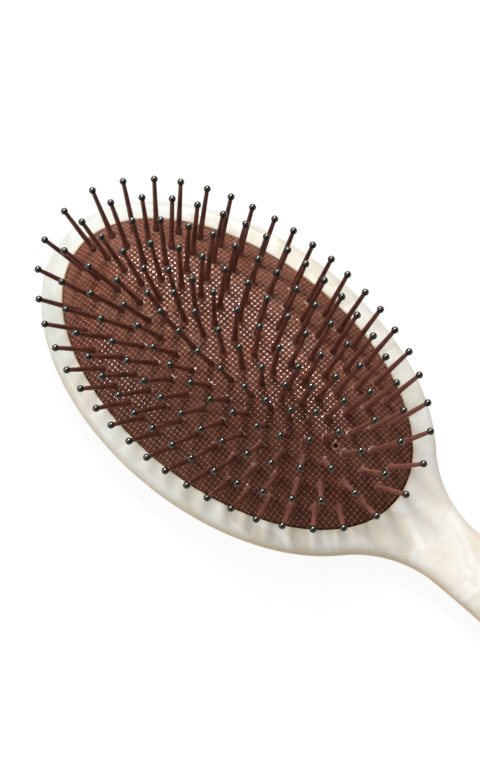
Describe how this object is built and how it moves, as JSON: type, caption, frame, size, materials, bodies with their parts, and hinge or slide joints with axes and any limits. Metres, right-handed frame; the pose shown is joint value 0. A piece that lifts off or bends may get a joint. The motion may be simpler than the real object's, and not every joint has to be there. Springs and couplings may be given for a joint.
{
  "type": "detangling brush",
  "caption": "Oval detangling brush: ball-tipped nylon pins on an air-filled rubber cushion in a pearl acetate head, with a short flat handle.",
  "frame": {"origin": "on the flat back, under the centre of the cushion", "axes": "+X along the handle, away from the head's toe; +Z out of the pin side; +Y to the right-hand side seen from the pin side with the handle towards the viewer"},
  "size_m": [0.238, 0.0714, 0.0326],
  "materials": {
    "acetate": "polished pearl acetate",
    "rubber": "fine woven-grid moulding, satin",
    "nylon": "satin moulded nylon",
    "bead": "high gloss"
  },
  "bodies": {
    "root": {"acetate_body": "acetate", "rubber_cushion": "rubber"},
    "ring_1": {"ring_1_toe_pins": "nylon", "ring_1_toe_beads": "bead", "ring_1_right_pins": "nylon", "ring_1_right_beads": "bead", "ring_1_heel_pins": "nylon", "ring_1_heel_beads": "bead", "ring_1_left_pins": "nylon", "ring_1_left_beads": "bead"},
    "ring_2": {"ring_2_toe_pins": "nylon", "ring_2_toe_beads": "bead", "ring_2_right_pins": "nylon", "ring_2_right_beads": "bead", "ring_2_heel_pins": "nylon", "ring_2_heel_beads": "bead", "ring_2_left_pins": "nylon", "ring_2_left_beads": "bead"},
    "ring_3": {"ring_3_toe_pins": "nylon", "ring_3_toe_beads": "bead", "ring_3_right_pins": "nylon", "ring_3_right_beads": "bead", "ring_3_heel_pins": "nylon", "ring_3_heel_beads": "bead", "ring_3_left_pins": "nylon", "ring_3_left_beads": "bead"},
    "ring_4": {"ring_4_toe_pins": "nylon", "ring_4_toe_beads": "bead", "ring_4_right_pins": "nylon", "ring_4_right_beads": "bead", "ring_4_heel_pins": "nylon", "ring_4_heel_beads": "bead", "ring_4_left_pins": "nylon", "ring_4_left_beads": "bead"},
    "ring_5": {"ring_5_toe_pins": "nylon", "ring_5_toe_beads": "bead", "ring_5_right_pins": "nylon", "ring_5_right_beads": "bead", "ring_5_heel_pins": "nylon", "ring_5_heel_beads": "bead", "ring_5_left_pins": "nylon", "ring_5_left_beads": "bead"},
    "centre_row": {"centre_row_pins": "nylon", "centre_row_beads": "bead"}
  },
  "joints": [
    {"name": "cushion_press", "type": "slide", "parent": "root", "child": "centre_row", "axis": [0, 0, -1], "range_m": [0, 0.004], "stiffness_N_per_m": 198, "deforming": ["rubber_cushion"]},
    {"name": "ring_1_press", "type": "slide", "parent": "root", "child": "ring_1", "axis": [0, 0, -1], "range_m": [0, 0.0013], "stiffness_N_per_m": 1386, "deforming": ["rubber_cushion"]},
    {"name": "ring_2_press", "type": "slide", "parent": "root", "child": "ring_2", "axis": [0, 0, -1], "range_m": [0, 0.00304], "stiffness_N_per_m": 1188, "deforming": ["rubber_cushion"]},
    {"name": "ring_3_press", "type": "slide", "parent": "root", "child": "ring_3", "axis": [0, 0, -1], "range_m": [0, 0.00382], "stiffness_N_per_m": 990, "deforming": ["rubber_cushion"]},
    {"name": "ring_4_press", "type": "slide", "parent": "root", "child": "ring_4", "axis": [0, 0, -1], "range_m": [0, 0.00399], "stiffness_N_per_m": 792, "deforming": ["rubber_cushion"]},
    {"name": "ring_5_press", "type": "slide", "parent": "root", "child": "ring_5", "axis": [0, 0, -1], "range_m": [0, 0.004], "stiffness_N_per_m": 594, "deforming": ["rubber_cushion"]}
  ],
  "couplings": [
    {"joint": "ring_1_press", "follows": "cushion_press", "ratio": 0.3255},
    {"joint": "ring_2_press", "follows": "cushion_press", "ratio": 0.7596},
    {"joint": "ring_3_press", "follows": "cushion_press", "ratio": 0.9555},
    {"joint": "ring_4_press", "follows": "cushion_press", "ratio": 0.9959},
    {"joint": "ring_5_press", "follows": "cushion_press", "ratio": 0.9999}
  ]
}
